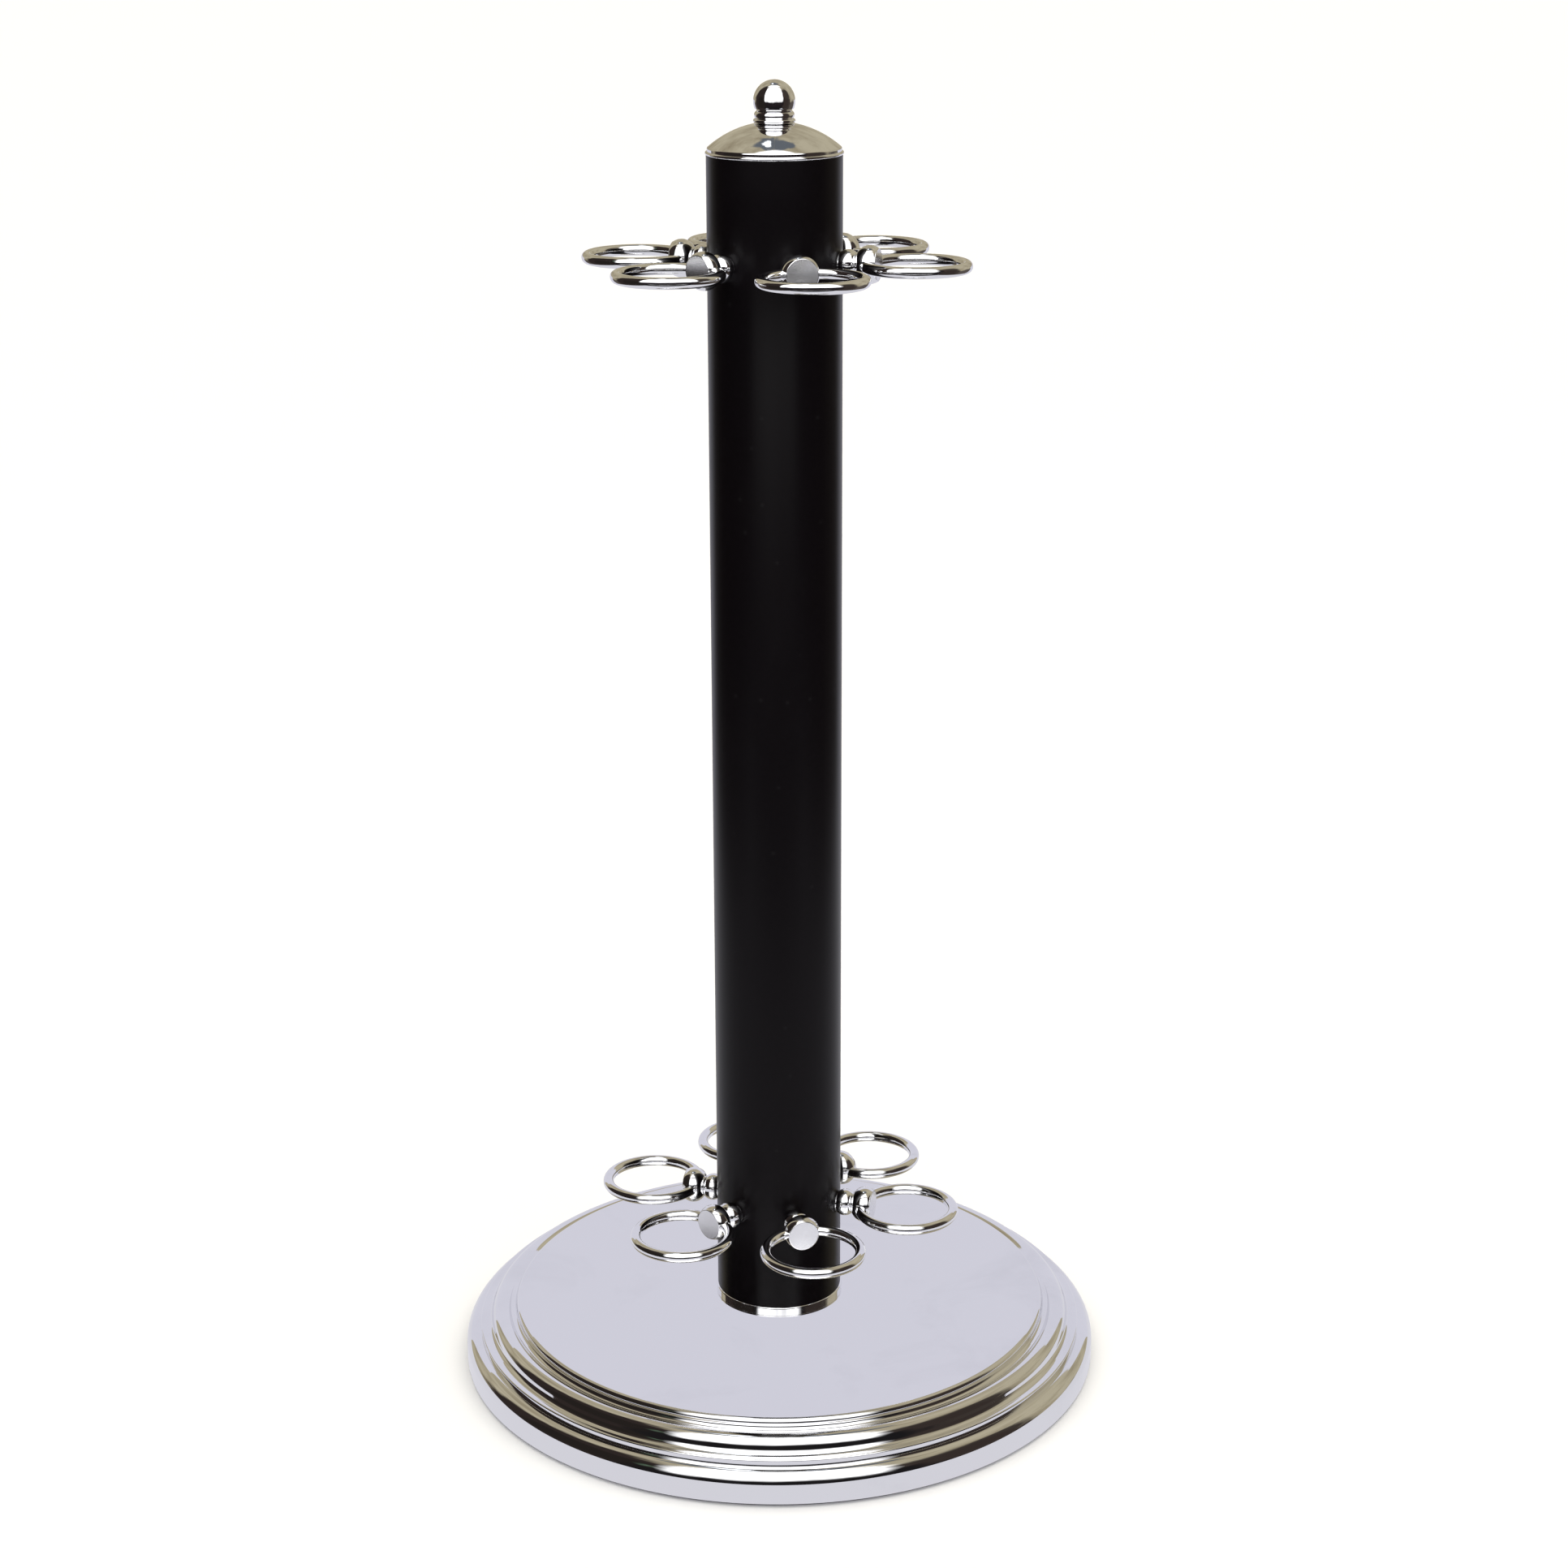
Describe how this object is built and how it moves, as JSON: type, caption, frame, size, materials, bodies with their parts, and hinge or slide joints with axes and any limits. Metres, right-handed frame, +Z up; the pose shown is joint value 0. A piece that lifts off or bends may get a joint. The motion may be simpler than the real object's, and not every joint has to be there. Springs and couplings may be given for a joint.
{
  "type": "cue stand",
  "caption": "Free-standing cue or cane stand: weighted stepped round base, black tube column, two levels of chrome rings on turned studs, domed cap and ball finial.",
  "frame": {"origin": "on the floor, under the column's axis", "axes": "+Z up along the column; -Y towards the first ring of each level"},
  "size_m": [0.3582, 0.3582, 0.7127],
  "materials": {
    "chrome_plate": "mirror polished chrome plate",
    "black_coat": "satin black coating",
    "zinc_steel": "bright zinc plated",
    "cast_iron": "rough cast, black primer",
    "rubber_pad": "matt non-slip sheet",
    "fibre_washer": "black fibre"
  },
  "bodies": {
    "stand": {"base_shell": "chrome_plate", "base_ballast": "cast_iron", "base_pad": "rubber_pad", "base_collar": "chrome_plate", "column_tube": "black_coat", "top_cap": "chrome_plate", "tie_rod": "zinc_steel", "tie_rod_nut": "zinc_steel", "tie_rod_washer": "zinc_steel", "lower_ring_1": "chrome_plate", "lower_stud_1": "chrome_plate", "lower_ring_2": "chrome_plate", "lower_stud_2": "chrome_plate", "lower_ring_3": "chrome_plate", "lower_stud_3": "chrome_plate", "lower_ring_4": "chrome_plate", "lower_stud_4": "chrome_plate", "lower_ring_5": "chrome_plate", "lower_stud_5": "chrome_plate", "lower_ring_6": "chrome_plate", "lower_stud_6": "chrome_plate", "lower_stud_saddles": "zinc_steel", "lower_stud_nuts": "zinc_steel", "upper_ring_1": "chrome_plate", "upper_stud_1": "chrome_plate", "upper_ring_2": "chrome_plate", "upper_stud_2": "chrome_plate", "upper_ring_3": "chrome_plate", "upper_stud_3": "chrome_plate", "upper_ring_4": "chrome_plate", "upper_stud_4": "chrome_plate", "upper_ring_5": "chrome_plate", "upper_stud_5": "chrome_plate", "upper_ring_6": "chrome_plate", "upper_stud_6": "chrome_plate", "upper_stud_saddles": "zinc_steel", "upper_stud_nuts": "zinc_steel"},
    "finial_carrier": {"finial_washer": "fibre_washer"},
    "finial": {"finial": "chrome_plate"}
  },
  "joints": [
    {"name": "finial_rise", "type": "slide", "parent": "stand", "child": "finial_carrier", "axis": [0, 0, 1], "range_m": [0, 0.0125]},
    {"name": "finial_turn", "type": "hinge", "parent": "finial_carrier", "child": "finial", "pos_m": [0, 0, 0.7], "axis": [0, 0, 1], "range_deg": [0, 3600]}
  ],
  "couplings": [
    {"joint": "finial_rise", "follows": "finial_turn", "m_per_rad": 0.00019894}
  ]
}
